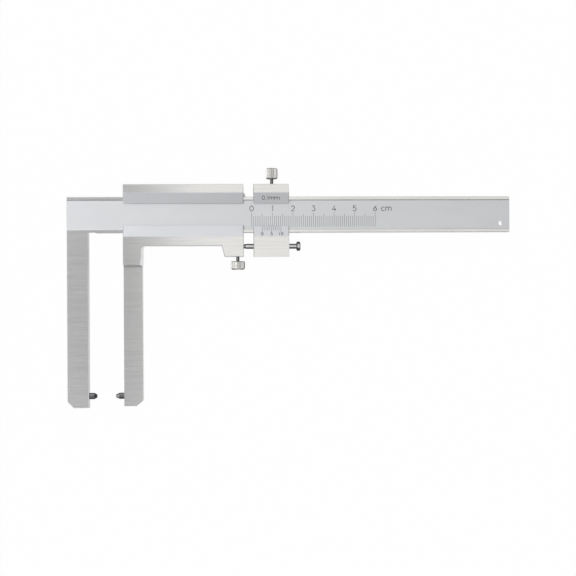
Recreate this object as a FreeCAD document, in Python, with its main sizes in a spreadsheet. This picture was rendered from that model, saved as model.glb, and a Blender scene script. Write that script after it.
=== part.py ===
"""Brake-disc vernier caliper, 0 to 60 mm, lying flat on its back.

Frame: the origin is the middle of the fixed pin's contact face. X runs along the
beam towards its free end, Y from the jaw tips up to the beam, Z out of the scale.
"""
import FreeCAD, Part
import os
import re

import Sketcher

# Driving dimensions in millimetres
SIZES = {
    # Beam with its fixed jaw, one ground blank
    "beam_length": 214.65,
    "beam_width": 17.5,
    "beam_thickness": 3.5,
    "beam_height": 78.35,
    "upper_band_width": 1.55,
    "lower_band_width": 1.45,
    "channel_depth": 0.3,
    "channel_wall_run": 0.35,
    "edge_break": 0.3,
    "hole_diameter": 2.3,
    "hole_from_end": 4.25,
    "hole_from_edge": 4.4,
    "fixed_jaw_width": 10.35,
    "fixed_jaw_overhang": 5.6,
    "fixed_jaw_bevel": 2.95,
    "jaw_root_radius": 0.4,
    "root_relief_length": 3.9,
    "root_relief_depth": 0.35,
    # Hardened measuring pins
    "pin_diameter": 3.05,
    "pin_tip_diameter": 1.5,
    "pin_gap": 9.0,
    "fixed_pin_reach": 3.7,
    "fixed_pin_taper": 1.3,
    "moving_pin_reach": 4.1,
    "moving_pin_taper": 1.75,
    "pin_shank_diameter": 1.8,
    "pin_shank_length": 5.0,
    "socket_relief": 0.3,
    # Slider and its jaw
    "slider_length": 57.7,
    "front_height": 4.35,
    "back_depth": 3.65,
    "crown_above_beam": 5.85,
    "rim_below_beam": 6.3,
    "upper_flat": 4.2,
    "lower_flat": 4.4,
    "upper_lip_cover": 3.3,
    "slider_lip_cover": 3.55,
    "lip_thickness": 0.45,
    "slide_clearance": 0.05,
    "body_chamfer": 0.3,
    "moving_jaw_width": 9.0,
    "moving_jaw_overhang": 4.85,
    "moving_jaw_bevel_width": 3.1,
    "moving_jaw_bevel_height": 2.5,
    "stub_length": 9.05,
    "step_run": 1.05,
    "step_corner_cut": 1.3,
    "step_corner_length": 4.5,
    "stub_root_radius": 1.7,
    "boss_drop": 5.33,
    "boss_length": 9.2,
    "boss_slant": 1.35,
    # Gib leaves and their grub screws
    "gib_thickness": 0.8,
    "gib_height": 3.0,
    "gib_tab_thickness": 0.85,
    "gib_tab_rise": 0.85,
    "gib_end_gap": 0.2,
    "gib_screw_diameter": 2.0,
    "gib_screw_length": 4.2,
    "gib_screw_inset": 12.0,
    "gib_slot_width": 0.4,
    "gib_slot_depth": 0.5,
    "thread_clearance": 0.03,
    # Vernier block
    "block_gap": 4.75,
    "block_width": 17.2,
    "vernier_lip_cover": 3.15,
    # Stop rod
    "rod_below_beam": 6.53,
    "rod_diameter": 2.5,
    "rod_neck_diameter": 2.0,
    "rod_neck_length": 1.6,
    "rod_shank_length": 9.0,
    "rod_end_relief": 0.5,
    "rod_clearance": 0.05,
    "rod_head_diameter": 4.6,
    "rod_head_length": 1.9,
    "rod_head_gap": 3.6,
    "rod_head_bevel": 0.4,
    # Knurled clamp screws and their pads
    "clamp_thread_diameter": 2.0,
    "clamp_neck_diameter": 1.65,
    "clamp_clearance": 0.05,
    "clamp_pad_length": 1.2,
    "clamp_seat_gap": 0.02,
    "lower_screw_inset": 2.9,
    "lower_neck_length": 2.12,
    "lower_head_diameter": 6.9,
    "lower_head_length": 4.1,
    "lower_head_bevel": 0.65,
    "upper_screw_inset": 8.95,
    "upper_neck_length": 2.6,
    "upper_head_diameter": 5.7,
    "upper_head_length": 5.25,
    "upper_rim_run": 0.8,
    "upper_rim_step": 0.24,
    "head_edge_round": 0.3,
    "knurl_depth": 0.15,
    "knurl_half_width": 0.16,
    "knurl_count": 38,
}

# Places that follow from the driving dimensions
PLACES = {
    "half_thickness": "beam_thickness / 2",
    "beam_top": "beam_height + beam_width",
    "beam_left": "-fixed_pin_reach - fixed_jaw_width",
    "beam_right": "beam_left + beam_length",
    "fixed_jaw_right": "-fixed_pin_reach",
    "relief_right": "fixed_jaw_right + root_relief_length",
    "relief_top": "beam_height + root_relief_depth",
    "slider_left": "pin_gap + moving_pin_reach",
    "slider_right": "slider_left + slider_length",
    "slider_bottom": "beam_height - rim_below_beam",
    "step_height": "slider_bottom - stub_length",
    "boss_bottom": "slider_bottom - boss_drop",
    "boss_root": "slot_bottom - lower_flat / 2",
    "body_top": "beam_top + crown_above_beam",
    "moving_jaw_right": "slider_left + moving_jaw_width",
    "slot_half": "half_thickness + slide_clearance",
    "slot_bottom": "beam_height - slide_clearance",
    "slot_top": "beam_top + slide_clearance + gib_thickness",
    "lip_front": "slot_half + lip_thickness",
    "block_left": "slider_right + block_gap",
    "block_right": "block_left + block_width",
    "rod_height": "beam_height - rod_below_beam",
    "rod_shoulder": "slider_right",
    "rod_head_left": "block_right + rod_head_gap",
    "rod_head_right": "rod_head_left + rod_head_length",
    "lower_screw_x": "slider_right - lower_screw_inset",
    "upper_screw_x": "block_left + upper_screw_inset",
    "lower_pad_top": "rod_height - rod_neck_diameter / 2 - clamp_seat_gap",
    "lower_screw_tip": "lower_pad_top - clamp_pad_length - clamp_seat_gap",
    "upper_pad_bottom": "slot_top + clamp_seat_gap",
    "upper_screw_tip": "upper_pad_bottom + clamp_pad_length + clamp_seat_gap",
    "lower_head_top": "boss_bottom - lower_neck_length",
    "lower_head_bottom": "lower_head_top - lower_head_length",
    "upper_head_bottom": "body_top + upper_neck_length",
    "upper_head_top": "upper_head_bottom + upper_head_length",
    "clamp_bore_diameter": "clamp_thread_diameter + 2 * clamp_clearance",
    "gib_bore_diameter": "gib_screw_diameter + 2 * thread_clearance",
    "rod_bore_diameter": "rod_diameter + 2 * rod_clearance",
    "rod_shank_bore_diameter": "rod_neck_diameter + 2 * rod_clearance",
}

# How far cutting shapes pass the faces that they cut
OVERSHOOT = 1.0
# How near two coordinates are to count as the same
SAME = 1e-4

doc = FreeCAD.newDocument("brake_disc_caliper")
sheet = doc.addObject("Spreadsheet::Sheet", "sizes")
for row, (alias, number) in enumerate(SIZES.items(), start=1):
    sheet.set(f"A{row}", alias)
    sheet.set(f"B{row}", str(number))
    sheet.setAlias(f"B{row}", alias)
doc.recompute()


def formula(text):
    """Write an expression over the sheet's cells, with each named place spelled out."""
    def spell(match):
        word = match.group()
        if word in PLACES:
            return "(" + formula(PLACES[word]) + ")"
        return "sizes." + word
    return re.sub(r"[a-z][a-z_]*", spell, text)


def value(text):
    """Work out a formula in millimetres."""
    return float(doc.sizes.evalExpression(formula(text)))


def bind(thing, target, text):
    """Tie a property of a document object to a formula."""
    thing.setExpression(target, formula(text))


def new_body(name):
    """Start one rigid piece."""
    body = doc.addObject("PartDesign::Body", name)
    body.Label = name
    return body


def new_sketch(body, name, plane, offset="0"):
    """Attach a sketch to one of the body's own origin planes, moved along its normal."""
    sketch = body.newObject("Sketcher::SketchObject", name)
    support = [item for item in body.Origin.OriginFeatures if item.Role == plane][0]
    sketch.AttachmentSupport = (support, "")
    sketch.MapMode = "FlatFace"
    if offset != "0":
        bind(sketch, ".AttachmentOffset.Base.z", offset)
    return sketch


def tie(sketch, kind, geometry, point, text):
    """Dimension a point from the sketch's origin."""
    if text == "0":
        axis = {"DistanceX": -2, "DistanceY": -1}[kind]
        sketch.addConstraint(Sketcher.Constraint("PointOnObject", geometry, point, axis))
        return
    constraint = Sketcher.Constraint(kind, -1, 1, geometry, point, value(text))
    index = sketch.addConstraint(constraint)
    bind(sketch, f"Constraints[{index}]", text)


def draw_outline(sketch, corners):
    """Draw a closed outline of straight edges through corners given as formulas."""
    first = sketch.GeometryCount
    points = [FreeCAD.Vector(value(x), value(y), 0) for x, y in corners]
    count = len(points)
    for i in range(count):
        sketch.addGeometry(Part.LineSegment(points[i], points[(i + 1) % count]), False)
    for i in range(count):
        joint = (first + i, 2, first + (i + 1) % count, 1)
        sketch.addConstraint(Sketcher.Constraint("Coincident", *joint))
    for i, (x, y) in enumerate(corners):
        if i and x == corners[i - 1][0]:
            sketch.addConstraint(Sketcher.Constraint("Vertical", first + i - 1))
        else:
            tie(sketch, "DistanceX", first + i, 1, x)
        if i and y == corners[i - 1][1]:
            sketch.addConstraint(Sketcher.Constraint("Horizontal", first + i - 1))
        else:
            tie(sketch, "DistanceY", first + i, 1, y)


def draw_circle(sketch, x, y, diameter):
    """Draw a circle by its centre and diameter."""
    centre = FreeCAD.Vector(value(x), value(y), 0)
    circle = Part.Circle(centre, FreeCAD.Vector(0, 0, 1), value(diameter) / 2)
    index = sketch.addGeometry(circle, False)
    tie(sketch, "DistanceX", index, 3, x)
    tie(sketch, "DistanceY", index, 3, y)
    constraint = sketch.addConstraint(Sketcher.Constraint("Diameter", index, value(diameter)))
    bind(sketch, f"Constraints[{constraint}]", diameter)


def add_pad(body, sketch, length, symmetric=False, reverse=False):
    """Raise a sketch into solid material."""
    pad = body.newObject("PartDesign::Pad", sketch.Name + "_pad")
    pad.Profile = sketch
    bind(pad, "Length", length)
    if symmetric:
        pad.SideType = "Symmetric"
    pad.Reversed = reverse
    doc.recompute()
    return pad


def add_pocket(body, sketch, length, reverse=False, symmetric=False):
    """Cut a sketch out of the solid, and make sure that the cut met material."""
    before = body.Tip.Shape.Volume
    pocket = body.newObject("PartDesign::Pocket", sketch.Name + "_cut")
    pocket.Profile = sketch
    bind(pocket, "Length", length)
    if symmetric:
        pocket.SideType = "Symmetric"
    pocket.Reversed = reverse
    doc.recompute()
    if pocket.Shape.Volume > before - SAME:
        raise RuntimeError(f"{pocket.Name} cuts nothing")
    return pocket


def add_revolution(body, sketch, axis):
    """Turn a half profile about an axis of its sketch."""
    turned = body.newObject("PartDesign::Revolution", sketch.Name + "_turned")
    turned.Profile = sketch
    turned.ReferenceAxis = (sketch, [axis])
    turned.Angle = 360
    doc.recompute()
    return turned


def find_edges(shape, chosen):
    """Name the edges that a test chooses."""
    return [f"Edge{i}" for i, edge in enumerate(shape.Edges, start=1) if chosen(edge)]


def add_edge_feature(body, kind, size, chosen):
    """Fillet or chamfer the chosen edges of the newest feature."""
    base = body.Tip
    feature = body.newObject("PartDesign::" + kind, f"{body.Name}_{kind.lower()}_{len(body.Group)}")
    feature.Base = (base, find_edges(base.Shape, chosen))
    bind(feature, "Radius" if kind == "Fillet" else "Size", size)
    doc.recompute()
    return feature


def runs_along(edge, direction):
    """Tell whether a straight edge runs along a direction."""
    if not isinstance(edge.Curve, Part.Line):
        return False
    return abs(abs(edge.Curve.Direction.dot(direction)) - 1) < SAME


def is_near(a, b):
    """Compare two coordinates."""
    return abs(a - b) < SAME


def build_beam():
    """Beam and fixed jaw: one ground blank with a shallow scale channel and a relieved root."""
    body = new_body("beam")
    outline = new_sketch(body, "beam_outline", "XY_Plane")
    draw_outline(outline, [
        ("beam_left", "beam_top"),
        ("beam_left", "fixed_jaw_bevel - fixed_jaw_overhang"),
        ("beam_left + fixed_jaw_bevel", "-fixed_jaw_overhang"),
        ("fixed_jaw_right", "-fixed_jaw_overhang"),
        ("fixed_jaw_right", "relief_top"),
        ("relief_right - root_relief_depth", "relief_top"),
        ("relief_right", "beam_height"),
        ("beam_right", "beam_height"),
        ("beam_right", "beam_top"),
    ])
    add_pad(body, outline, "beam_thickness", symmetric=True)

    corner_x = value("fixed_jaw_right")
    corner_y = value("relief_top")

    def at_jaw_root(edge):
        box = edge.BoundBox
        upright = runs_along(edge, FreeCAD.Vector(0, 0, 1))
        return upright and is_near(box.XMin, corner_x) and is_near(box.YMin, corner_y)

    add_edge_feature(body, "Fillet", "jaw_root_radius", at_jaw_root)
    face = value("half_thickness")

    def on_a_flat_side(edge):
        box = edge.BoundBox
        return is_near(box.ZMin, box.ZMax) and is_near(abs(box.ZMin), face)

    add_edge_feature(body, "Chamfer", "edge_break", on_a_flat_side)

    channel = new_sketch(body, "scale_channel", "YZ_Plane", f"beam_right + {OVERSHOOT}")
    draw_outline(channel, [
        ("beam_height + lower_band_width", f"half_thickness + {OVERSHOOT}"),
        ("beam_height + lower_band_width", "half_thickness"),
        ("beam_height + lower_band_width + channel_wall_run", "half_thickness - channel_depth"),
        ("beam_top - upper_band_width - channel_wall_run", "half_thickness - channel_depth"),
        ("beam_top - upper_band_width", "half_thickness"),
        ("beam_top - upper_band_width", f"half_thickness + {OVERSHOOT}"),
    ])
    add_pocket(body, channel, f"beam_length + 2 * {OVERSHOOT}")

    hole = new_sketch(body, "hanging_hole", "XY_Plane")
    draw_circle(hole, "beam_right - hole_from_end", "beam_height + hole_from_edge", "hole_diameter")
    add_pocket(body, hole, f"beam_thickness + {OVERSHOOT}", symmetric=True)

    socket = new_sketch(body, "fixed_pin_socket", "YZ_Plane", "fixed_jaw_right")
    draw_circle(socket, "0", "0", "pin_shank_diameter")
    add_pocket(body, socket, "pin_shank_length + socket_relief")
    return body


def build_pin(name, root, taper_end, tip, shank_end):
    """Hardened pin turned about the measuring axis, from its tip back to its shank."""
    body = new_body(name)
    profile = new_sketch(body, name + "_profile", "XY_Plane")
    draw_outline(profile, [
        (tip, "0"),
        (tip, "pin_tip_diameter / 2"),
        (taper_end, "pin_diameter / 2"),
        (root, "pin_diameter / 2"),
        (root, "pin_shank_diameter / 2"),
        (shank_end, "pin_shank_diameter / 2"),
        (shank_end, "0"),
    ])
    add_revolution(body, profile, "H_Axis")
    return body


def draw_slide_section(sketch, bottom, lower_lip_cover):
    """Section across slider or block: a C round the beam with two bevelled lips."""
    draw_outline(sketch, [
        (bottom, "-back_depth"),
        ("body_top", "-back_depth"),
        ("body_top", "front_height"),
        ("body_top - upper_flat", "front_height"),
        ("beam_top - upper_lip_cover", "lip_front"),
        ("beam_top - upper_lip_cover", "slot_half"),
        ("slot_top", "slot_half"),
        ("slot_top", "-slot_half"),
        ("slot_bottom", "-slot_half"),
        ("slot_bottom", "slot_half"),
        (f"beam_height + {lower_lip_cover}", "slot_half"),
        (f"beam_height + {lower_lip_cover}", "lip_front"),
        ("slider_bottom + lower_flat", "front_height"),
        (bottom, "front_height"),
    ])


def cut_step_corner(body, side, level):
    """Widen the jaw stub's outer edge break towards the step, on one side of the beam."""
    stations = {
        "near": ("step_height - step_run + step_corner_length", "body_chamfer"),
        "far": ("step_height - step_run", "step_corner_cut"),
    }
    sections = []
    for name, (height, leg) in stations.items():
        section = new_sketch(body, f"corner_{side}_{name}", "XZ_Plane", f"-({height})")
        inward = {"front": "-", "back": "+"}[side]
        outward = {"front": "+", "back": "-"}[side]
        draw_outline(section, [
            (f"moving_jaw_right - {leg}", level),
            ("moving_jaw_right", f"{level} {inward} {leg}"),
            (f"moving_jaw_right + {OVERSHOOT}", f"{level} {outward} {OVERSHOOT}"),
        ])
        sections.append(section)
    doc.recompute()
    loft = body.newObject("PartDesign::SubtractiveLoft", f"corner_{side}_cut")
    loft.Profile = sections[0]
    loft.Sections = [sections[1]]
    loft.Ruled = True
    doc.recompute()
    return loft


def build_slider():
    """Slider: C section along the beam, rod boss, stepped stub and moving jaw."""
    body = new_body("slider_body")
    section = new_sketch(body, "slider_section", "YZ_Plane", "slider_left")
    draw_slide_section(section, "slider_bottom", "slider_lip_cover")
    add_pad(body, section, "slider_length")

    boss = new_sketch(body, "rod_boss", "XY_Plane", "-back_depth")
    draw_outline(boss, [
        ("slider_right - boss_length - boss_slant", "slider_bottom"),
        ("slider_right - boss_length", "boss_bottom"),
        ("slider_right", "boss_bottom"),
        ("slider_right", "boss_root"),
        ("slider_right - boss_length - boss_slant", "boss_root"),
    ])
    add_pad(body, boss, "front_height + back_depth")

    stub = new_sketch(body, "jaw_stub", "YZ_Plane", "slider_left")
    draw_outline(stub, [
        ("boss_root", "-back_depth"),
        ("boss_root", "front_height"),
        ("step_height", "front_height"),
        ("step_height - step_run", "half_thickness"),
        ("step_height - step_run", "-half_thickness"),
        ("step_height", "-back_depth"),
    ])
    add_pad(body, stub, "moving_jaw_width")

    blade = new_sketch(body, "jaw_blade", "XY_Plane")
    draw_outline(blade, [
        ("slider_left", "step_height"),
        ("slider_left", "-moving_jaw_overhang"),
        ("moving_jaw_right - moving_jaw_bevel_width", "-moving_jaw_overhang"),
        ("moving_jaw_right", "moving_jaw_bevel_height - moving_jaw_overhang"),
        ("moving_jaw_right", "step_height"),
    ])
    add_pad(body, blade, "beam_thickness", symmetric=True)

    corner_x = value("moving_jaw_right")
    corner_y = value("slider_bottom")

    def at_stub_root(edge):
        box = edge.BoundBox
        upright = runs_along(edge, FreeCAD.Vector(0, 0, 1))
        return upright and is_near(box.XMin, corner_x) and is_near(box.YMin, corner_y)

    add_edge_feature(body, "Fillet", "stub_root_radius", at_stub_root)
    break_front_edges(body, value("step_height"))
    cut_step_corner(body, "front", "front_height")
    cut_step_corner(body, "back", "-back_depth")

    socket = new_sketch(body, "moving_pin_socket", "YZ_Plane", "slider_left")
    draw_circle(socket, "0", "0", "pin_shank_diameter")
    add_pocket(body, socket, "pin_shank_length + socket_relief", reverse=True)

    for number, place in enumerate(GIB_SCREW_PLACES, start=1):
        bore = new_sketch(body, f"gib_bore_{number}", "XZ_Plane", "-body_top")
        draw_circle(bore, place, "0", "gib_bore_diameter")
        add_pocket(body, bore, "body_top - slot_top", reverse=True)

    rod_bore = new_sketch(body, "rod_shank_bore", "YZ_Plane", "slider_right")
    draw_circle(rod_bore, "rod_height", "0", "rod_shank_bore_diameter")
    add_pocket(body, rod_bore, "rod_shank_length + rod_end_relief")

    clamp_bore = new_sketch(body, "slider_clamp_bore", "XZ_Plane", "-boss_bottom")
    draw_circle(clamp_bore, "lower_screw_x", "0", "clamp_bore_diameter")
    add_pocket(body, clamp_bore, "rod_height - boss_bottom")
    return body


def break_front_edges(body, lowest):
    """Chamfer every outer edge between a front face and an upright face."""
    shape = body.Tip.Shape
    lip = value("lip_front")

    def faces_out(face):
        return face.normalAt(0, 0).z > 0.3 and face.BoundBox.ZMax > lip + SAME

    def stands_up(face):
        return abs(face.normalAt(0, 0).z) < SAME

    out_faces = [face for face in shape.Faces if faces_out(face)]
    upright_faces = [face for face in shape.Faces if stands_up(face)]

    def chosen(edge):
        box = edge.BoundBox
        if box.ZMax < lip + SAME or box.YMin < lowest - SAME:
            return False
        if is_near(box.YMin, lowest) and is_near(box.YMax, lowest):
            return False
        on_front = any(edge.isSame(other) for face in out_faces for other in face.Edges)
        on_side = any(edge.isSame(other) for face in upright_faces for other in face.Edges)
        return on_front and on_side

    add_edge_feature(body, "Chamfer", "body_chamfer", chosen)


def build_vernier_block():
    """Vernier block: the slider's section again, deeper below, bored for the stop rod."""
    body = new_body("vernier_block")
    section = new_sketch(body, "block_section", "YZ_Plane", "block_left")
    draw_slide_section(section, "boss_bottom", "vernier_lip_cover")
    add_pad(body, section, "block_width")
    break_front_edges(body, value("boss_bottom"))

    rod_bore = new_sketch(body, "block_rod_bore", "YZ_Plane", "block_right")
    draw_circle(rod_bore, "rod_height", "0", "rod_bore_diameter")
    add_pocket(body, rod_bore, f"block_width + {OVERSHOOT}")

    clamp_bore = new_sketch(body, "block_clamp_bore", "XZ_Plane", "-body_top")
    draw_circle(clamp_bore, "upper_screw_x", "0", "clamp_bore_diameter")
    add_pocket(body, clamp_bore, "body_top - slot_top", reverse=True)
    return body


def build_slider_gib():
    """Slider's gib: a leaf on the beam's upper edge, its end bent up over the slider."""
    body = new_body("slider_gib")
    leaf = new_sketch(body, "slider_gib_leaf", "XY_Plane")
    draw_outline(leaf, [
        ("slider_left + gib_end_gap", "slot_top"),
        ("slider_left + gib_end_gap", "slot_top - gib_thickness"),
        ("slider_right + gib_tab_thickness", "slot_top - gib_thickness"),
        ("slider_right + gib_tab_thickness", "slot_top"),
        ("slider_right + gib_tab_thickness / 3", "slot_top + gib_tab_rise"),
        ("slider_right", "slot_top + gib_tab_rise"),
        ("slider_right", "slot_top"),
    ])
    add_pad(body, leaf, "gib_height", symmetric=True)
    return body


def build_block_gib():
    """Block's gib: a short plain leaf under the clamp pad."""
    body = new_body("block_gib")
    leaf = new_sketch(body, "block_gib_leaf", "XY_Plane")
    draw_outline(leaf, [
        ("block_left + gib_end_gap", "slot_top"),
        ("block_left + gib_end_gap", "slot_top - gib_thickness"),
        ("block_right - gib_end_gap", "slot_top - gib_thickness"),
        ("block_right - gib_end_gap", "slot_top"),
    ])
    add_pad(body, leaf, "gib_height", symmetric=True)
    return body


def build_gib_screw(name, place):
    """Slotted grub screw in the slider's upper edge, its end on the gib."""
    body = new_body(name)
    shank = new_sketch(body, name + "_shank", "XZ_Plane", "-slot_top")
    draw_circle(shank, "0", "0", "gib_screw_diameter")
    add_pad(body, shank, "gib_screw_length", reverse=True)
    slot = new_sketch(body, name + "_slot", "XZ_Plane", "-(slot_top + gib_screw_length)")
    draw_outline(slot, [
        ("-gib_screw_diameter", "-gib_slot_width / 2"),
        ("gib_screw_diameter", "-gib_slot_width / 2"),
        ("gib_screw_diameter", "gib_slot_width / 2"),
        ("-gib_screw_diameter", "gib_slot_width / 2"),
    ])
    add_pocket(body, slot, "gib_slot_depth", reverse=True)
    bind(body, ".Placement.Base.x", place)
    return body


def build_stop_rod():
    """Stop rod: plug-in shank, tapered neck, shaft through the block and a round head."""
    body = new_body("stop_rod")
    profile = new_sketch(body, "rod_profile", "XY_Plane")
    draw_outline(profile, [
        ("rod_shoulder - rod_shank_length", "0"),
        ("rod_shoulder - rod_shank_length", "rod_neck_diameter / 2"),
        ("rod_shoulder", "rod_neck_diameter / 2"),
        ("rod_shoulder + rod_neck_length", "rod_diameter / 2"),
        ("rod_head_left", "rod_diameter / 2"),
        ("rod_head_left", "rod_head_diameter / 2 - rod_head_bevel"),
        ("rod_head_left + rod_head_bevel", "rod_head_diameter / 2"),
        ("rod_head_right - rod_head_bevel", "rod_head_diameter / 2"),
        ("rod_head_right", "rod_head_diameter / 2 - rod_head_bevel"),
        ("rod_head_right", "0"),
    ])
    add_revolution(body, profile, "H_Axis")
    bind(body, ".Placement.Base.y", "rod_height")
    return body


def cut_knurl(body, profile, head_diameter, near_end, head_length):
    """Cut straight V flutes round a thumbscrew head."""
    notch = new_sketch(body, body.Name + "_flute", "XZ_Plane", f"-({near_end})")
    draw_outline(notch, [
        (f"{head_diameter} / 2 - knurl_depth", "0"),
        (f"{head_diameter} / 2 + knurl_depth", "-2 * knurl_half_width"),
        (f"{head_diameter} / 2 + knurl_depth", "2 * knurl_half_width"),
    ])
    flute = add_pocket(body, notch, head_length)
    pattern = body.newObject("PartDesign::PolarPattern", body.Name + "_flutes")
    pattern.Originals = [flute]
    pattern.Axis = (profile, ["V_Axis"])
    pattern.Angle = 360
    bind(pattern, "Occurrences", "knurl_count")
    body.Tip = pattern
    doc.recompute()
    return pattern


def build_slider_clamp_screw():
    """Lower thumbscrew: thread in the rod boss, thin neck, wide flat knurled head."""
    body = new_body("slider_clamp_screw")
    profile = new_sketch(body, "lower_screw_profile", "XY_Plane")
    draw_outline(profile, [
        ("0", "lower_screw_tip"),
        ("clamp_thread_diameter / 2", "lower_screw_tip"),
        ("clamp_thread_diameter / 2", "boss_bottom"),
        ("clamp_neck_diameter / 2", "boss_bottom"),
        ("clamp_neck_diameter / 2", "lower_head_top"),
        ("lower_head_diameter / 2 - head_edge_round", "lower_head_top"),
        ("lower_head_diameter / 2", "lower_head_top - head_edge_round"),
        ("lower_head_diameter / 2", "lower_head_bottom + lower_head_bevel"),
        ("lower_head_diameter / 2 - lower_head_bevel", "lower_head_bottom"),
        ("0", "lower_head_bottom"),
    ])
    add_revolution(body, profile, "V_Axis")
    cut_knurl(body, profile, "lower_head_diameter", "lower_head_bottom", "lower_head_length")
    bind(body, ".Placement.Base.x", "lower_screw_x")
    return body


def build_block_clamp_screw():
    """Upper thumbscrew: thread in the block, thin neck, tall knurled head."""
    body = new_body("block_clamp_screw")
    profile = new_sketch(body, "upper_screw_profile", "XY_Plane")
    draw_outline(profile, [
        ("0", "upper_screw_tip"),
        ("clamp_thread_diameter / 2", "upper_screw_tip"),
        ("clamp_thread_diameter / 2", "body_top"),
        ("clamp_neck_diameter / 2", "body_top"),
        ("clamp_neck_diameter / 2", "upper_head_bottom"),
        ("upper_head_diameter / 2 - upper_rim_run", "upper_head_bottom"),
        ("upper_head_diameter / 2 - upper_rim_step", "upper_head_bottom + upper_rim_step"),
        ("upper_head_diameter / 2", "upper_head_bottom + upper_rim_run"),
        ("upper_head_diameter / 2", "upper_head_top - head_edge_round"),
        ("upper_head_diameter / 2 - head_edge_round", "upper_head_top"),
        ("0", "upper_head_top"),
    ])
    add_revolution(body, profile, "V_Axis")
    cut_knurl(body, profile, "upper_head_diameter", "upper_head_bottom", "upper_head_length")
    bind(body, ".Placement.Base.x", "upper_screw_x")
    return body


def build_clamp_pad(name, x, bottom):
    """Brass pad that carries a clamp screw's pressure without turning."""
    pad = doc.addObject("Part::Cylinder", name)
    pad.Label = name
    bind(pad, "Radius", "clamp_thread_diameter / 2")
    bind(pad, "Height", "clamp_pad_length")
    upwards = FreeCAD.Rotation(FreeCAD.Vector(1, 0, 0), -90)
    pad.Placement = FreeCAD.Placement(FreeCAD.Vector(value(x), value(bottom), 0), upwards)
    bind(pad, ".Placement.Base.x", x)
    bind(pad, ".Placement.Base.y", bottom)
    return pad


GIB_SCREW_PLACES = ("slider_left + gib_screw_inset", "slider_right - gib_screw_inset")

pieces = [
    build_beam(),
    build_pin("fixed_measuring_pin", "-fixed_pin_reach", "-fixed_pin_taper", "0",
              "-fixed_pin_reach - pin_shank_length"),
    build_slider(),
    build_pin("moving_measuring_pin", "slider_left", "pin_gap + moving_pin_taper", "pin_gap",
              "slider_left + pin_shank_length"),
    build_slider_gib(),
    build_gib_screw("gib_screw_left", GIB_SCREW_PLACES[0]),
    build_gib_screw("gib_screw_right", GIB_SCREW_PLACES[1]),
    build_stop_rod(),
    build_clamp_pad("slider_clamp_pad", "lower_screw_x", "lower_pad_top - clamp_pad_length"),
    build_slider_clamp_screw(),
    build_vernier_block(),
    build_block_gib(),
    build_clamp_pad("block_clamp_pad", "upper_screw_x", "upper_pad_bottom"),
    build_block_clamp_screw(),
]
doc.recompute()

for item in doc.Objects:
    if "Invalid" in item.State or "Error" in item.State:
        raise RuntimeError(f"{item.Name} failed: {item.State}")
for piece in pieces:
    if piece.Shape.isNull() or not piece.Shape.isValid():
        raise RuntimeError(f"{piece.Label} has no valid shape")

os.makedirs("parts", exist_ok=True)
for piece in pieces:
    piece.Shape.exportStep(f"parts/{piece.Label}.step")
    box = piece.Shape.BoundBox
    print(f"{piece.Label}: {piece.Shape.Volume:.1f} mm3, {box.XMin:.2f} to {box.XMax:.2f},"
          f" {box.YMin:.2f} to {box.YMax:.2f}, {box.ZMin:.2f} to {box.ZMax:.2f}")
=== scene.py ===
"""Looks of the brake-disc vernier caliper: ground and satin steel, scales, light and camera."""
import math

import bmesh
import bpy
from mathutils import Matrix, Vector


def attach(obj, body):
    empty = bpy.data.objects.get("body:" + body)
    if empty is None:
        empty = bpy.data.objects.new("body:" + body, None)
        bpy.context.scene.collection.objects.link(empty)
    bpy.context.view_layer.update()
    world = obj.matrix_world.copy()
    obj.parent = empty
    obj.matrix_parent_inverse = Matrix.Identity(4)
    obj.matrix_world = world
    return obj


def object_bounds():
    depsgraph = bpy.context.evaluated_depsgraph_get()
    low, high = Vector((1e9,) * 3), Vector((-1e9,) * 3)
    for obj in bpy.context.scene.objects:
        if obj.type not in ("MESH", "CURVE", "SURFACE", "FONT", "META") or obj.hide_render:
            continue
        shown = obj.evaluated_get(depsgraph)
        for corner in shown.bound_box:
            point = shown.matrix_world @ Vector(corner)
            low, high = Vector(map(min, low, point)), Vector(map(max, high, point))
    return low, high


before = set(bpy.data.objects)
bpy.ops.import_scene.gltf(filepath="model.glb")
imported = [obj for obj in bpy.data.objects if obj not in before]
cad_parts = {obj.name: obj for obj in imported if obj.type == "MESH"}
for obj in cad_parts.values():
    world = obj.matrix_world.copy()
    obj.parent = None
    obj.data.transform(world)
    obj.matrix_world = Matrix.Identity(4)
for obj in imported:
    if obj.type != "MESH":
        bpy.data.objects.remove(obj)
cad_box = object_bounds()

MM = 0.001

# Places on the steel parts that the scales and finishes sit on, in millimetres
CHANNEL_Z = 1.45
PIN_GAP = 9.0
FIXED_CONE = 1.3
MOVING_CONE = 1.75
LOWER_SCREW = {"axis_x": 67.90, "head_radius": 3.45}
UPPER_SCREW = {"axis_x": 84.50, "head_radius": 2.85}
FRONT_Z = 4.35
LIP_Z = 2.25
BLOCK_LOWER_BEVEL = {"lip_y": 81.50, "flat_y": 76.45}
BLOCK_UPPER_BEVEL = {"lip_y": 92.55, "flat_y": 97.50}

# Camera: a pivot on the scale's face, seen from a slight turn off square
PIVOT = Vector((92.107, 51.537, CHANNEL_Z)) * MM
CAMERA_DISTANCE = 450.0 * MM
CAMERA_TURNS = (("Z", 0.005376), ("X", -0.000563), ("Y", 0.040002))
PHOTO_SIDE = 576
FOCAL_PIXELS = 929.38
SENSOR_WIDTH = 36.0


def plug(tree, socket, source):
    """Give a node's socket a number, a colour or another node's output."""
    if isinstance(source, bpy.types.NodeSocket):
        tree.links.new(source, socket)
    else:
        socket.default_value = source


def arithmetic(tree, operation, *sources):
    """Work out one arithmetic step and give its output."""
    node = tree.nodes.new("ShaderNodeMath")
    node.operation = operation
    for socket, source in zip(node.inputs, sources):
        plug(tree, socket, source)
    return node.outputs["Value"]


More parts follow.
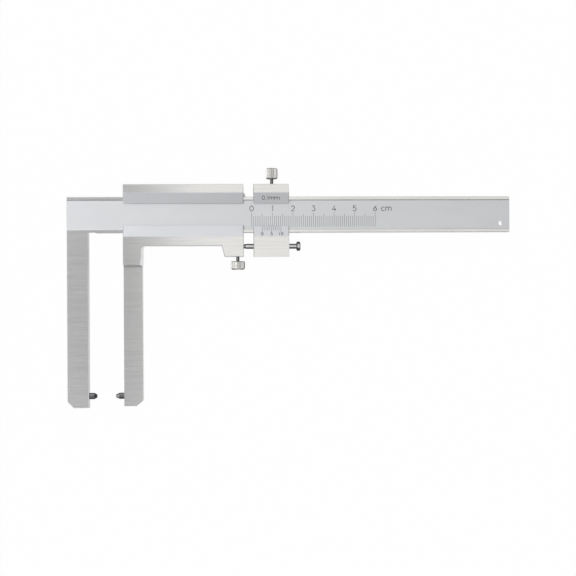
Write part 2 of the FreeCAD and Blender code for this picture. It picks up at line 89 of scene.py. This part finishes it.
def slope(tree, source, start, end, low=0.0, high=1.0):
    """Rise smoothly from low to high as the source goes from start to end."""
    node = tree.nodes.new("ShaderNodeMapRange")
    node.interpolation_type = "SMOOTHSTEP"
    plug(tree, node.inputs["Value"], source)
    for name, number in (("From Min", start), ("From Max", end), ("To Min", low), ("To Max", high)):
        plug(tree, node.inputs[name], number)
    return node.outputs["Result"]


def blend_numbers(tree, share, first, second):
    """Mix two numbers by a share."""
    node = tree.nodes.new("ShaderNodeMix")
    node.data_type = "FLOAT"
    plug(tree, node.inputs["Factor"], share)
    plug(tree, node.inputs["A"], first)
    plug(tree, node.inputs["B"], second)
    return node.outputs["Result"]


def blend_colours(tree, share, first, second, kind="MIX"):
    """Mix two colours by a share."""
    node = tree.nodes.new("ShaderNodeMix")
    node.data_type = "RGBA"
    node.blend_type = kind
    plug(tree, node.inputs["Factor"], share)
    plug(tree, node.inputs[6], first)
    plug(tree, node.inputs[7], second)
    return node.outputs[2]


def stretched_noise(tree, place, cell, detail=2.0):
    """Noise with cells of the given lengths along X, Y and Z, in millimetres."""
    mapping = tree.nodes.new("ShaderNodeMapping")
    mapping.inputs["Scale"].default_value = [1.0 / (MM * length) for length in cell]
    tree.links.new(place, mapping.inputs["Vector"])
    noise = tree.nodes.new("ShaderNodeTexNoise")
    noise.inputs["Scale"].default_value = 1.0
    noise.inputs["Detail"].default_value = detail
    tree.links.new(mapping.outputs["Vector"], noise.inputs["Vector"])
    return noise.outputs["Fac"]


def start_material(name):
    """Make a metal material with an empty shader, and give its tree, shader and coordinates."""
    material = bpy.data.materials.new(name)
    material.use_nodes = True
    tree = material.node_tree
    shader = tree.nodes["Principled BSDF"]
    coordinates = tree.nodes.new("ShaderNodeTexCoord")
    return material, tree, shader, coordinates


def add_bump(tree, shader, height, depth):
    """Raise the surface by a height that goes from 0 to 1, for a depth in millimetres."""
    bump = tree.nodes.new("ShaderNodeBump")
    bump.inputs["Strength"].default_value = 1.0
    bump.inputs["Distance"].default_value = depth * MM
    tree.links.new(height, bump.inputs["Height"])
    tree.links.new(bump.outputs["Normal"], shader.inputs["Normal"])


def parts_of(tree, vector):
    """A vector's X, Y and Z."""
    node = tree.nodes.new("ShaderNodeSeparateXYZ")
    tree.links.new(vector, node.inputs["Vector"])
    return node.outputs


def constant_direction(tree, direction):
    """A direction that is the same all over the piece."""
    node = tree.nodes.new("ShaderNodeCombineXYZ")
    for axis, number in zip("XYZ", direction):
        node.inputs[axis].default_value = number
    return node.outputs["Vector"]


# Ground and satin steel: base colours, and the span of each one's roughness
GROUND = (0.875, 0.872, 0.865, 1.0)
GROUND_DULL = (0.815, 0.813, 0.808, 1.0)
GROUND_ROUGHNESS = (0.18, 0.26)
SATIN = (0.785, 0.795, 0.817, 1.0)
SATIN_DULL = (0.732, 0.742, 0.767, 1.0)
SATIN_ROUGHNESS = (0.42, 0.50)
# Edges and sides: partly a duller finish, partly painted shade, with the sides facing along X darker than
# those facing along Y
EDGE = (0.730, 0.730, 0.727, 1.0)
SIDE = (0.430, 0.430, 0.432, 1.0)
LONG_SIDE = (0.600, 0.600, 0.600, 1.0)

# Grinding: lines along X spread the reflection along Y. Cells and depth are in millimetres
LINE_CELL = (22.0, 0.7, 1.4)
LINE_CONTRAST = (0.35, 0.65)
FINE_CELL = (5.0, 0.12, 0.3)
CLOUD_CELL = (18.0, 9.0, 9.0)
FINE_DETAIL = 3.0
GRINDING = 0.90
SPREAD_ALONG = (0.0, 1.0, 0.0)
GRAIN_DEPTH = 0.0011

# How squarely a face looks along Z where an edge's and a side's colour take over, and on the bevels
EDGE_LEAN = (0.88, 0.82)
SIDE_LEAN = (0.50, 0.30)
BEVEL_LEAN = 0.934
BEVEL_LEAN_SPAN = 0.04
CHANNEL_SPAN = 0.1

# Screws' dark necks, painted shade in the grooves of their knurled heads, and a painted highlight and
# painted shade on the pins' cones; the lengths in millimetres
NECK = (0.160, 0.160, 0.165, 1.0)
NECK_RADII = (1.00, 1.25)
PAINTED_GROOVE_SHADE = (0.600, 0.600, 0.600, 1.0)
GROOVE_TOP = 0.02
GROOVE_DEPTH = 0.12
PAINTED_CONE_HIGHLIGHT = (2.200, 2.200, 2.200, 1.0)
PAINTED_CONE_SHADE = (0.600, 0.600, 0.600, 1.0)
CONE_BLEND = 0.2

# Other metals: two base colours, the span of roughness, cells and depth of the marks in millimetres,
# and on turned ones where the painted shade towards the flank sets in and ends, and from which level to
# which
LEAF = {
    "colours": ((0.66, 0.66, 0.65, 1.0), (0.56, 0.56, 0.56, 1.0)),
    "roughness": (0.25, 0.36), "cell": (4.0, 0.4, 0.4), "depth": 0.002,
}
GRUB = {
    "colours": ((0.42, 0.42, 0.43, 1.0), (0.34, 0.34, 0.35, 1.0)),
    "roughness": (0.28, 0.40), "cell": (0.5, 0.5, 0.5), "depth": 0.003,
}
BRASS = {
    "colours": ((0.80, 0.62, 0.30, 1.0), (0.70, 0.52, 0.24, 1.0)),
    "roughness": (0.25, 0.38), "cell": (0.8, 0.8, 0.8), "depth": 0.003,
}
ROD = {
    "colours": ((0.76, 0.76, 0.76, 1.0), (0.66, 0.66, 0.67, 1.0)),
    "roughness": (0.12, 0.22), "cell": (0.25, 3.0, 3.0), "depth": 0.002, "flank": (0.03, 0.22, 1.0, 0.11),
}
NICKEL = {
    "colours": ((0.95, 0.94, 0.92, 1.0), (0.89, 0.88, 0.86, 1.0)),
    "roughness": (0.14, 0.22), "cell": (1.2, 1.2, 1.2), "depth": 0.003, "flank": (0.18, 0.54, 1.0, 0.12),
}
PIN = {
    "colours": ((0.21, 0.21, 0.22, 1.0), (0.14, 0.14, 0.15, 1.0)),
    "roughness": (0.10, 0.16), "cell": (0.2, 2.0, 2.0), "depth": 0.002, "flank": (0.18, 0.55, 1.0, 0.04),
}


def lean_of_face(tree, coordinates, axis):
    """How squarely a face looks along an axis: one straight along it, none at right angles."""
    return arithmetic(tree, "ABSOLUTE", parts_of(tree, coordinates.outputs["Normal"])[axis])


def finish_steel(name, satin_share):
    """Ground steel with lines along X, darker edges and sides, partly a duller finish and partly painted
    shade, and satin where satin_share says.
    """
    material, tree, shader, coordinates = start_material(name)
    place = coordinates.outputs["Object"]
    lines = stretched_noise(tree, place, LINE_CELL, FINE_DETAIL)
    fine = stretched_noise(tree, place, FINE_CELL)
    clouds = stretched_noise(tree, place, CLOUD_CELL)
    satin = satin_share(tree, coordinates)
    ground_colour = blend_colours(tree, slope(tree, lines, *LINE_CONTRAST), GROUND, GROUND_DULL)
    satin_colour = blend_colours(tree, clouds, SATIN, SATIN_DULL)
    face_colour = blend_colours(tree, satin, ground_colour, satin_colour)
    lean = lean_of_face(tree, coordinates, "Z")
    # Painted shade on the sides, partly a duller finish, set by which way each side faces
    sides = blend_colours(tree, lean_of_face(tree, coordinates, "Y"), SIDE, LONG_SIDE)
    edge_colour = blend_colours(tree, slope(tree, lean, *EDGE_LEAN), face_colour, EDGE)
    side_colour = blend_colours(tree, slope(tree, lean, *SIDE_LEAN), edge_colour, sides)
    plug(tree, shader.inputs["Base Color"], side_colour)
    shader.inputs["Metallic"].default_value = 1.0
    ground_roughness = blend_numbers(tree, fine, *GROUND_ROUGHNESS)
    satin_roughness = blend_numbers(tree, clouds, *SATIN_ROUGHNESS)
    plug(tree, shader.inputs["Roughness"], blend_numbers(tree, satin, ground_roughness, satin_roughness))
    plug(tree, shader.inputs["Anisotropic"], blend_numbers(tree, satin, GRINDING, 0.0))
    tree.links.new(constant_direction(tree, SPREAD_ALONG), shader.inputs["Tangent"])
    add_bump(tree, shader, arithmetic(tree, "ADD", lines, fine), GRAIN_DEPTH)
    return material


def channel_share(tree, coordinates):
    """Satin on the floor of the beam's scale channel."""
    height = parts_of(tree, coordinates.outputs["Object"])["Z"]
    return arithmetic(tree, "COMPARE", height, CHANNEL_Z * MM, CHANNEL_SPAN * MM)


def bevel_share(tree, coordinates):
    """Satin on the two shallow bevels that lean towards the scale."""
    lean = parts_of(tree, coordinates.outputs["Normal"])["Z"]
    return arithmetic(tree, "COMPARE", lean, BEVEL_LEAN, BEVEL_LEAN_SPAN)


def plain_metal(name, metal):
    """Metal with a slight cloudiness and fine marks."""
    material, tree, shader, coordinates = start_material(name)
    marks = stretched_noise(tree, coordinates.outputs["Object"], metal["cell"], FINE_DETAIL)
    plug(tree, shader.inputs["Base Color"], blend_colours(tree, marks, *metal["colours"]))
    shader.inputs["Metallic"].default_value = 1.0
    plug(tree, shader.inputs["Roughness"], blend_numbers(tree, marks, *metal["roughness"]))
    add_bump(tree, shader, marks, metal["depth"])
    return material


def shade_base(tree, share, colour):
    """Multiply the base colour by another one where the share says, and give the result."""
    base = tree.nodes["Principled BSDF"].inputs["Base Color"]
    shaded = blend_colours(tree, share, base.links[0].from_socket, colour, "MULTIPLY")
    plug(tree, base, shaded)
    return shaded


def turned_metal(name, metal):
    """Turned round metal, with painted shade: its base colour darkens towards its flanks as they turn from
    the camera.
    """
    material = plain_metal(name, metal)
    tree = material.node_tree
    facing = tree.nodes.new("ShaderNodeLayerWeight")
    facing.inputs["Blend"].default_value = 0.5
    # Painted shade: the base colour falls towards the flanks, where they turn away from the camera
    fall = slope(tree, facing.outputs["Facing"], *metal["flank"])
    grey = tree.nodes.new("ShaderNodeCombineColor")
    for channel in ("Red", "Green", "Blue"):
        tree.links.new(fall, grey.inputs[channel])
    shade_base(tree, 1.0, grey.outputs["Color"])
    return material


def place_on_part(tree):
    """The X, Y and Z of a point on the part, in metres."""
    return parts_of(tree, tree.nodes.new("ShaderNodeTexCoord").outputs["Object"])


def screw_metal(name, axis_x, head_radius):
    """Bright nickel on a clamp screw's knurled head, with painted shade in the grooves, and a dark neck."""
    material = turned_metal(name, NICKEL)
    tree = material.node_tree
    place = place_on_part(tree)
    across = arithmetic(tree, "SUBTRACT", place["X"], axis_x * MM)
    square = arithmetic(tree, "MULTIPLY", across, across)
    square = arithmetic(tree, "MULTIPLY_ADD", place["Z"], place["Z"], square)
    radius = arithmetic(tree, "SQRT", square)
    # Painted shade in the knurl's grooves: the base colour darkens deeper in
    groove_shade = slope(tree, radius, (head_radius - GROOVE_TOP) * MM, (head_radius - GROOVE_DEPTH) * MM)
    knurled = shade_base(tree, groove_shade, PAINTED_GROOVE_SHADE)
    head = slope(tree, radius, *(edge * MM for edge in NECK_RADII))
    base = tree.nodes["Principled BSDF"].inputs["Base Color"]
    plug(tree, base, blend_colours(tree, head, NECK, knurled))
    return material


def pin_metal(name, cone_root, tip, painted_cone_light):
    """Dark hardened steel on a measuring pin, with painted light multiplied into the cone at its tip: a
    painted highlight on the moving pin, painted shade on the fixed one.
    """
    material = turned_metal(name, PIN)
    tree = material.node_tree
    cone_begun = cone_root + CONE_BLEND * (tip - cone_root)
    cone = slope(tree, place_on_part(tree)["X"], cone_root * MM, cone_begun * MM)
    # Painted light on the cone: the given colour brightens it as a highlight or darkens it as shade
    shade_base(tree, cone, painted_cone_light)
    return material


def dress(material, *nodes):
    """Give CAD nodes their finish."""
    for node in nodes:
        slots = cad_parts[node].data.materials
        slots.clear()
        slots.append(material)


def dress_parts():
    """Give every CAD node its finish."""
    moving_root = PIN_GAP + MOVING_CONE
    dress(finish_steel("beam_steel", channel_share), "beam")
    dress(finish_steel("slide_steel", bevel_share), "slider_body", "vernier_block")
    dress(pin_metal("fixed_pin_steel", -FIXED_CONE, 0.0, PAINTED_CONE_SHADE), "fixed_measuring_pin")
    dress(pin_metal("moving_pin_steel", moving_root, PIN_GAP, PAINTED_CONE_HIGHLIGHT), "moving_measuring_pin")
    dress(plain_metal("spring_leaf", LEAF), "slider_gib", "block_gib")
    dress(plain_metal("grub_screw", GRUB), "gib_screw_left", "gib_screw_right")
    dress(turned_metal("bright_rod", ROD), "stop_rod")
    dress(screw_metal("lower_screw_nickel", **LOWER_SCREW), "slider_clamp_screw")
    dress(screw_metal("upper_screw_nickel", **UPPER_SCREW), "block_clamp_screw")
    dress(plain_metal("brass_pad", BRASS), "slider_clamp_pad", "block_clamp_pad")


# Scales, in millimetres: the ribbons stand a hair proud of the steel
RIBBON_RISE = 0.015
RIBBON_SINK = 0.010
LINE_WIDTH = 0.14
STROKE_WIDTH = 0.31
SMALL_STROKE_WIDTH = 0.26
NO_LENGTH = 1e-9
SAME_POINT = 1e-6
SHARPEST_MITRE = 0.6


def arc(centre_x, centre_y, radius_x, radius_y, start, end, steps=12):
    """Points round part of an ellipse, the angles in degrees."""
    points = []
    for i in range(steps + 1):
        angle = math.radians(start + (end - start) * i / steps)
        points.append((centre_x + radius_x * math.cos(angle), centre_y + radius_y * math.sin(angle)))
    return points


# Strokes of the figures in a box one unit high, and each one's width
FIGURES = {
    "0": (0.70, [arc(0.35, 0.5, 0.35, 0.5, 90, 450, steps=24)]),
    "1": (0.16, [[(0.0, 0.84), (0.16, 1.0), (0.16, 0.0)]]),
    "2": (0.62, [arc(0.31, 0.70, 0.30, 0.30, 165, -32) + [(0.0, 0.0), (0.62, 0.0)]]),
    "3": (0.62, [[(0.03, 1.0), (0.58, 1.0), (0.30, 0.62)] + arc(0.29, 0.31, 0.33, 0.31, 75, -155)]),
    "4": (0.72, [[(0.50, 1.0), (0.0, 0.28), (0.72, 0.28)], [(0.52, 0.58), (0.52, 0.0)]]),
    "5": (0.62, [[(0.57, 1.0), (0.10, 1.0), (0.05, 0.56)] + arc(0.29, 0.33, 0.33, 0.33, 125, -150)]),
    "6": (0.62, [[(0.46, 1.0), (0.06, 0.44)] + arc(0.31, 0.30, 0.31, 0.30, 150, 510, steps=20)]),
    "c": (0.62, [arc(0.35, 0.38, 0.34, 0.38, 45, 315, steps=16)]),
    "m": (1.10, [[(0.0, 0.0), (0.0, 0.76)],
                 arc(0.275, 0.48, 0.275, 0.28, 180, 0) + [(0.55, 0.0)],
                 arc(0.825, 0.48, 0.275, 0.28, 180, 0) + [(1.10, 0.0)]]),
    "wide m": (1.36, [[(0.0, 0.0), (0.0, 0.70)],
                      arc(0.34, 0.44, 0.34, 0.26, 180, 0) + [(0.68, 0.0)],
                      arc(1.02, 0.44, 0.34, 0.26, 180, 0) + [(1.36, 0.0)]]),
    "spaced 1": (0.30, [[(0.0, 0.84), (0.16, 1.0), (0.16, 0.0)]]),
    ".": (0.36, [[(0.11, 0.07), (0.25, 0.07)]]),
}
FIGURE_GAP = 0.24
WIDE_GAP = 0.60


def flat_face(z):
    """A level face at that height: how a point drawn on it lies in space."""
    def lay(x, y, rise):
        return Vector((x, y, z + rise)) * MM
    return lay


def bevel_face(lip_y, flat_y):
    """A block's bevel, which climbs from its lip to the front face."""
    climb = (FRONT_Z - LIP_Z) / (flat_y - lip_y)
    up = Vector((0.0, -climb, 1.0)).normalized()

    def lay(x, y, rise):
        return (Vector((x, y, LIP_Z + climb * (y - lip_y))) + up * rise) * MM
    return lay


def stroke_edges(points, width):
    """The two edges of a ribbon of that width along a line of points."""
    count = len(points)
    closed = count > 2 and math.dist(points[0], points[-1]) < SAME_POINT
    edges = []
    for i, (x, y) in enumerate(points):
        before = points[i - 1] if i else (points[-2] if closed else points[0])
        after = points[i + 1] if i + 1 < count else (points[1] if closed else points[-1])
        steps = (Vector((x - before[0], y - before[1])), Vector((after[0] - x, after[1] - y)))
        ways = [step.normalized() for step in steps if step.length > NO_LENGTH]
        along = sum(ways, Vector((0.0, 0.0))).normalized()
        side = Vector((-along.y, along.x))
        steepest = max(way.dot(along) for way in ways)
        reach = width / 2 / max(steepest, SHARPEST_MITRE)
        edges.append(((x + side.x * reach, y + side.y * reach), (x - side.x * reach, y - side.y * reach)))
    return edges


def add_ribbon(mesh, points, width, lay):
    """Add one closed flat ribbon along the points to a mesh."""
    rings = []
    for left, right in stroke_edges(points, width):
        rings.append([
            mesh.verts.new(lay(*left, -RIBBON_SINK)),
            mesh.verts.new(lay(*right, -RIBBON_SINK)),
            mesh.verts.new(lay(*right, RIBBON_RISE)),
            mesh.verts.new(lay(*left, RIBBON_RISE)),
        ])
    for ring, following in zip(rings, rings[1:]):
        for i in range(4):
            j = (i + 1) % 4
            mesh.faces.new((ring[i], ring[j], following[j], following[i]))
    mesh.faces.new(rings[0][::-1])
    mesh.faces.new(rings[-1])


def add_text(mesh, text, centre_x, base_y, height, width, lay, gap=FIGURE_GAP, stretch=1.0):
    """Write figures centred on an X, standing on a Y."""
    widths = [FIGURES[letter][0] * stretch for letter in text]
    x = centre_x - height * (sum(widths) + gap * (len(text) - 1)) / 2
    for letter, letter_width in zip(text, widths):
        for stroke in FIGURES[letter][1]:
            points = [(x + height * stretch * px, base_y + height * py) for px, py in stroke]
            add_ribbon(mesh, points, width, lay)
        x += height * (letter_width + gap)


def finish_marks(name, mesh, body, material):
    """Turn ribbons into a piece that moves with a body."""
    bmesh.ops.recalc_face_normals(mesh, faces=mesh.faces)
    data = bpy.data.meshes.new(name)
    mesh.to_mesh(data)
    mesh.free()
    piece = bpy.data.objects.new(name, data)
    bpy.context.scene.collection.objects.link(piece)
    data.materials.append(material)
    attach(piece, body)


MAIN_ZERO_X = 74.70
MAIN_LENGTH = 60
MAIN_LINE_FOOT = 81.20
MAIN_LINE_TOPS = {1: 86.40, 5: 87.35, 10: 88.15}
MAIN_FIGURE_HEIGHT = 2.45
MAIN_FIGURE_BASE = 88.85
UNIT_X = 140.15
VERNIER_ZERO_X = 79.78
VERNIER_STEPS = 10
VERNIER_STEP = 0.9
VERNIER_LINE_FEET = {1: 79.40, 5: 78.40}
VERNIER_FIGURE_HEIGHT = 1.45
VERNIER_FIGURE_BASE = 76.95
VERNIER_FIGURE_STRETCH = 0.85
VERNIER_LINE_GAP = 0.02
READING = ("0", ".", "spaced 1", "wide m", "wide m")
READING_X = 83.95
READING_BASE = 94.25
READING_HEIGHT = 1.70
READING_GAP = 0.22


INK = ((0.050, 0.050, 0.054, 1.0), (0.090, 0.090, 0.095, 1.0))
INK_ROUGHNESS = (0.5, 0.7)
INK_CELL = (0.3, 0.3, 0.3)


def engraving():
    """Dark filling of the engraved lines and figures."""
    material, tree, shader, coordinates = start_material("engraving")
    grain = stretched_noise(tree, coordinates.outputs["Object"], INK_CELL)
    plug(tree, shader.inputs["Base Color"], blend_colours(tree, grain, *INK))
    plug(tree, shader.inputs["Roughness"], blend_numbers(tree, grain, *INK_ROUGHNESS))
    return material


def build_scales():
    """Main scale on the beam, vernier and its unit on the block."""
    ink = engraving()
    channel = flat_face(CHANNEL_Z)
    lines = bmesh.new()
    for step in range(MAIN_LENGTH + 1):
        x = MAIN_ZERO_X + step
        kind = max(every for every in MAIN_LINE_TOPS if step % every == 0)
        add_ribbon(lines, [(x, MAIN_LINE_FOOT), (x, MAIN_LINE_TOPS[kind])], LINE_WIDTH, channel)
    finish_marks("main_scale_lines", lines, "beam", ink)

    figures = bmesh.new()
    for step in range(0, MAIN_LENGTH + 1, 10):
        add_text(figures, str(step // 10), MAIN_ZERO_X + step, MAIN_FIGURE_BASE, MAIN_FIGURE_HEIGHT,
                 STROKE_WIDTH, channel)
    add_text(figures, "cm", UNIT_X, MAIN_FIGURE_BASE, MAIN_FIGURE_HEIGHT, STROKE_WIDTH, channel)
    finish_marks("main_scale_figures", figures, "beam", ink)

    lower = bevel_face(**BLOCK_LOWER_BEVEL)
    vernier_top = BLOCK_LOWER_BEVEL["lip_y"] - VERNIER_LINE_GAP
    vernier = bmesh.new()
    for step in range(VERNIER_STEPS + 1):
        x = VERNIER_ZERO_X + VERNIER_STEP * step
        kind = max(every for every in VERNIER_LINE_FEET if step % every == 0)
        add_ribbon(vernier, [(x, VERNIER_LINE_FEET[kind]), (x, vernier_top)], LINE_WIDTH, lower)
        if kind == 5:
            add_text(vernier, str(step), x, VERNIER_FIGURE_BASE, VERNIER_FIGURE_HEIGHT,
                     SMALL_STROKE_WIDTH, lower, gap=WIDE_GAP, stretch=VERNIER_FIGURE_STRETCH)
    finish_marks("vernier_scale", vernier, "vernier_block", ink)

    reading = bmesh.new()
    add_text(reading, READING, READING_X, READING_BASE, READING_HEIGHT, SMALL_STROKE_WIDTH,
             bevel_face(**BLOCK_UPPER_BEVEL), gap=READING_GAP)
    finish_marks("vernier_unit", reading, "vernier_block", ink)


FLOOR_HALF = 2.0
FLOOR_DROP = 0.01
FLOOR_SHOWN = 0.98
PAPER = (0.94, 0.94, 0.94, 1.0)


def build_floor():
    """Pale floor under the caliper, bright to the camera, with a faint shadow."""
    low, _ = cad_box
    data = bpy.data.meshes.new("floor")
    level = low.z - FLOOR_DROP * MM
    corners = ((-1, -1), (1, -1), (1, 1), (-1, 1))
    data.from_pydata([(x * FLOOR_HALF, y * FLOOR_HALF, level) for x, y in corners], [], [(0, 1, 2, 3)])
    floor = bpy.data.objects.new("floor", data)
    bpy.context.scene.collection.objects.link(floor)
    material = bpy.data.materials.new("floor_paper")
    material.use_nodes = True
    tree = material.node_tree
    tree.nodes.clear()
    output = tree.nodes.new("ShaderNodeOutputMaterial")
    paper = tree.nodes.new("ShaderNodeBsdfDiffuse")
    paper.inputs["Color"].default_value = PAPER
    glow = tree.nodes.new("ShaderNodeEmission")
    glow.inputs["Strength"].default_value = 1.0
    path = tree.nodes.new("ShaderNodeLightPath")
    seen = arithmetic(tree, "MAXIMUM", path.outputs["Is Camera Ray"], path.outputs["Is Glossy Ray"])
    seen = arithmetic(tree, "MAXIMUM", seen, path.outputs["Is Transmission Ray"])
    mix = tree.nodes.new("ShaderNodeMixShader")
    tree.links.new(arithmetic(tree, "MULTIPLY", seen, FLOOR_SHOWN), mix.inputs["Fac"])
    tree.links.new(paper.outputs["BSDF"], mix.inputs[1])
    tree.links.new(glow.outputs["Emission"], mix.inputs[2])
    tree.links.new(mix.outputs["Shader"], output.inputs["Surface"])
    data.materials.append(material)


WHITE = (1.0, 1.0, 1.0, 1.0)
COOL_LIGHT = (0.985, 0.995, 1.0, 1.0)
WARM_LIGHT = (1.0, 0.990, 0.965, 1.0)

# The studio's panels are made of edges. An edge has an axis, the two directions between which the light
# changes, and its level at each of them. "across" is Y without its sign, "lean" is X with a little Y
LEAN_SHARE = 0.05
SIDES_FALL = (("x", -0.20, 0.04, 1.75, 0.87), ("x", -0.42, -0.28, 0.55, 1.0))
PANELS = {
    "low side": (("y", -0.22, -0.34, 0.0, 1.0), ("y", -0.80, -0.60, 0.0, 0.79), *SIDES_FALL),
    "high side": (("y", 0.22, 0.34, 0.0, 0.86), ("x", -0.06, 0.34, 1.0, 0.66), *SIDES_FALL),
    "left wall": (("x", -0.24, -0.34, 0.0, 1.0), ("z", 0.05, 0.20, 0.0, 0.78)),
    "left lamp": (("x", -0.25, -0.31, 0.0, 1.0), ("x", -0.75, -0.60, 1.15, 2.05),
                  ("across", 0.34, 0.22, 0.0, 1.0), ("z", 0.0, 0.12, 0.0, 1.0)),
    "right edge": (("x", 0.88, 0.96, 0.0, 1.0), ("z", 0.26, 0.16, 0.0, 1.15)),
    "low edge": (("across", 0.60, 0.80, 0.0, 1.0), ("z", 0.16, 0.06, 0.0, 0.9)),
}
UNLIT = 0.12
OVERHEAD = ("lean", -0.120, -0.072, 0.22, 1.0)
OVERHEAD_LEFT = ("lean", -0.135, -0.185, 0.22, 0.35)
OVERHEAD_FALL = ("lean", 0.03, 0.15, 1.0, 0.92)
OVERHEAD_FRAME = (
    ("across", 0.30, 0.20, 0.0, 1.0), ("x", 0.62, 0.48, 0.0, 1.0), ("x", -0.33, -0.25, 0.0, 1.0),
)
WARM_OVERHEAD = ("lean", -0.120, -0.072, 0.0, 1.0)
WARM_LEFT = ("x", -0.25, -0.40, 0.0, 0.5)


def combine(tree, operation, levels):
    """Work one operation through a list of levels."""
    result = levels[0]
    for level in levels[1:]:
        result = arithmetic(tree, operation, result, level)
    return result


def panel_edges(tree, directions, edges):
    """The level of each edge of a panel, in every direction."""
    return [slope(tree, directions[axis], *span) for axis, *span in edges]


def studio_light(tree, directions):
    """Strength and warmth of the light from every direction."""
    panels = [combine(tree, "MULTIPLY", panel_edges(tree, directions, edges)) for edges in PANELS.values()]
    around = combine(tree, "MAXIMUM", [*panels, UNLIT])
    overhead, left, fall = panel_edges(tree, directions, (OVERHEAD, OVERHEAD_LEFT, OVERHEAD_FALL))
    overhead = arithmetic(tree, "MULTIPLY", arithmetic(tree, "MAXIMUM", overhead, left), fall)
    inside = combine(tree, "MULTIPLY", panel_edges(tree, directions, OVERHEAD_FRAME))
    warm_overhead, warm_left = panel_edges(tree, directions, (WARM_OVERHEAD, WARM_LEFT))
    warmth = arithmetic(tree, "MAXIMUM", arithmetic(tree, "MULTIPLY", inside, warm_overhead), warm_left)
    return blend_numbers(tree, inside, around, overhead), warmth


def build_world():
    """A soft white studio: panels overhead and on the left, darker to the right and low down."""
    world = bpy.data.worlds.new("studio")
    world.use_nodes = True
    bpy.context.scene.world = world
    tree = world.node_tree
    tree.nodes.clear()
    direction = parts_of(tree, tree.nodes.new("ShaderNodeTexCoord").outputs["Generated"])
    x, y, z = (direction[axis] for axis in "XYZ")
    directions = {"x": x, "y": y, "z": z}
    directions["across"] = arithmetic(tree, "ABSOLUTE", y)
    directions["lean"] = arithmetic(tree, "MULTIPLY_ADD", y, LEAN_SHARE, x)
    light, warmth = studio_light(tree, directions)

    path = tree.nodes.new("ShaderNodeLightPath")
    strength = blend_numbers(tree, path.outputs["Is Camera Ray"], light, 1.0)
    background = tree.nodes.new("ShaderNodeBackground")
    tint = blend_colours(tree, warmth, COOL_LIGHT, WARM_LIGHT)
    plug(tree, background.inputs["Color"], blend_colours(tree, path.outputs["Is Camera Ray"], tint, WHITE))
    tree.links.new(strength, background.inputs["Strength"])
    output = tree.nodes.new("ShaderNodeOutputWorld")
    tree.links.new(background.outputs["Background"], output.inputs["Surface"])


def build_camera():
    """The photograph's viewpoint."""
    turn = Matrix.Identity(4)
    for axis, angle in CAMERA_TURNS:
        turn = turn @ Matrix.Rotation(angle, 4, axis)
    data = bpy.data.cameras.new("camera")
    data.sensor_width = SENSOR_WIDTH
    data.lens = FOCAL_PIXELS / PHOTO_SIDE * SENSOR_WIDTH
    camera = bpy.data.objects.new("camera", data)
    back = turn.transposed()
    camera.matrix_world = Matrix.Translation(PIVOT) @ back @ Matrix.Translation((0.0, 0.0, CAMERA_DISTANCE))
    bpy.context.scene.collection.objects.link(camera)
    bpy.context.scene.camera = camera


bpy.context.scene.view_settings.view_transform = "Standard"
build_camera()
dress_parts()
build_scales()
build_floor()
build_world()
